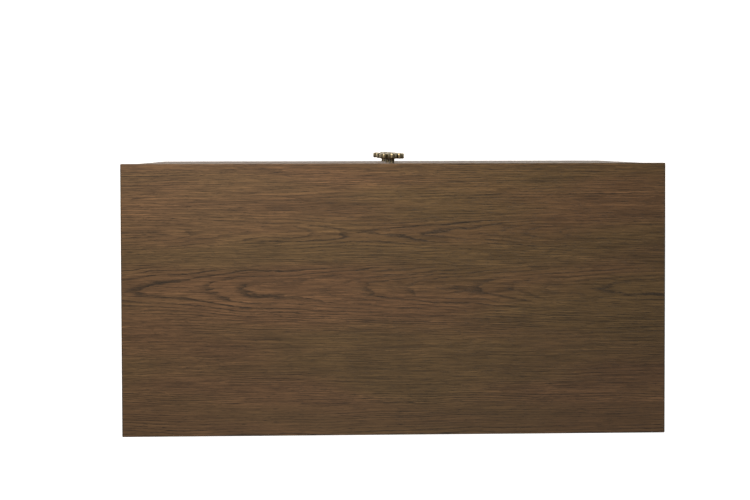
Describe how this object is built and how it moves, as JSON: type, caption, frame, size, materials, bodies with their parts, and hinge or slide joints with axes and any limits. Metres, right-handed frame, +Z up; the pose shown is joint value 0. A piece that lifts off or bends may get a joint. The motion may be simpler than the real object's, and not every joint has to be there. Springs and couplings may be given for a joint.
{
  "type": "chest of drawers",
  "caption": "Low oak chest of drawers with a flat overhanging top, overlay fronts, quatrefoil brass knobs, ball-bearing slides and a recessed plinth.",
  "frame": {"origin": "on the floor, at the middle of the chest's outline seen from above, knobs included", "axes": "+X along the chest's width, +Y from the drawer fronts to the back, +Z up"},
  "size_m": [1.016, 0.5282, 0.864],
  "materials": {
    "stained_oak": "warm brown stain under satin lacquer",
    "drawer_maple": "clear satin lacquer",
    "birch_plywood": "clear matt lacquer",
    "aged_brass": "aged, burnished on the high spots",
    "zinc_steel": "bright zinc plate",
    "nylon": "moulded, dark"
  },
  "bodies": {
    "case": {"top_panel": "stained_oak", "side_left": "stained_oak", "side_right": "stained_oak", "case_bottom": "stained_oak", "stretcher_front": "stained_oak", "stretcher_back": "stained_oak", "divider_upper": "stained_oak", "divider_lower": "stained_oak", "plinth_front": "stained_oak", "plinth_back": "stained_oak", "plinth_left": "stained_oak", "plinth_right": "stained_oak", "back_panel": "birch_plywood", "glide_front_left": "nylon", "glide_front_right": "nylon", "glide_back_left": "nylon", "glide_back_right": "nylon", "top_slide_left_cabinet": "zinc_steel", "top_slide_right_cabinet": "zinc_steel", "middle_slide_left_cabinet": "zinc_steel", "middle_slide_right_cabinet": "zinc_steel", "bottom_slide_left_cabinet": "zinc_steel", "bottom_slide_right_cabinet": "zinc_steel"},
    "top_drawer": {"top_front": "stained_oak", "top_box_left": "drawer_maple", "top_box_right": "drawer_maple", "top_box_front": "drawer_maple", "top_box_back": "drawer_maple", "top_bottom": "birch_plywood", "top_knob": "aged_brass", "top_knob_screw": "zinc_steel", "top_slide_left_drawer": "zinc_steel", "top_slide_right_drawer": "zinc_steel"},
    "top_runners": {"top_slide_left_middle": "zinc_steel", "top_slide_right_middle": "zinc_steel"},
    "middle_drawer": {"middle_front": "stained_oak", "middle_box_left": "drawer_maple", "middle_box_right": "drawer_maple", "middle_box_front": "drawer_maple", "middle_box_back": "drawer_maple", "middle_bottom": "birch_plywood", "middle_knob": "aged_brass", "middle_knob_screw": "zinc_steel", "middle_slide_left_drawer": "zinc_steel", "middle_slide_right_drawer": "zinc_steel"},
    "middle_runners": {"middle_slide_left_middle": "zinc_steel", "middle_slide_right_middle": "zinc_steel"},
    "bottom_drawer": {"bottom_front": "stained_oak", "bottom_box_left": "drawer_maple", "bottom_box_right": "drawer_maple", "bottom_box_front": "drawer_maple", "bottom_box_back": "drawer_maple", "bottom_bottom": "birch_plywood", "bottom_knob": "aged_brass", "bottom_knob_screw": "zinc_steel", "bottom_slide_left_drawer": "zinc_steel", "bottom_slide_right_drawer": "zinc_steel"},
    "bottom_runners": {"bottom_slide_left_middle": "zinc_steel", "bottom_slide_right_middle": "zinc_steel"}
  },
  "joints": [
    {"name": "top_drawer_slide", "type": "slide", "parent": "case", "child": "top_drawer", "axis": [0, -1, 0], "range_m": [0, 0.38]},
    {"name": "top_runner_slide", "type": "slide", "parent": "case", "child": "top_runners", "axis": [0, -1, 0], "range_m": [0, 0.19]},
    {"name": "middle_drawer_slide", "type": "slide", "parent": "case", "child": "middle_drawer", "axis": [0, -1, 0], "range_m": [0, 0.38]},
    {"name": "middle_runner_slide", "type": "slide", "parent": "case", "child": "middle_runners", "axis": [0, -1, 0], "range_m": [0, 0.19]},
    {"name": "bottom_drawer_slide", "type": "slide", "parent": "case", "child": "bottom_drawer", "axis": [0, -1, 0], "range_m": [0, 0.38]},
    {"name": "bottom_runner_slide", "type": "slide", "parent": "case", "child": "bottom_runners", "axis": [0, -1, 0], "range_m": [0, 0.19]}
  ],
  "couplings": [
    {"joint": "top_runner_slide", "follows": "top_drawer_slide", "ratio": 0.5},
    {"joint": "middle_runner_slide", "follows": "middle_drawer_slide", "ratio": 0.5},
    {"joint": "bottom_runner_slide", "follows": "bottom_drawer_slide", "ratio": 0.5}
  ]
}
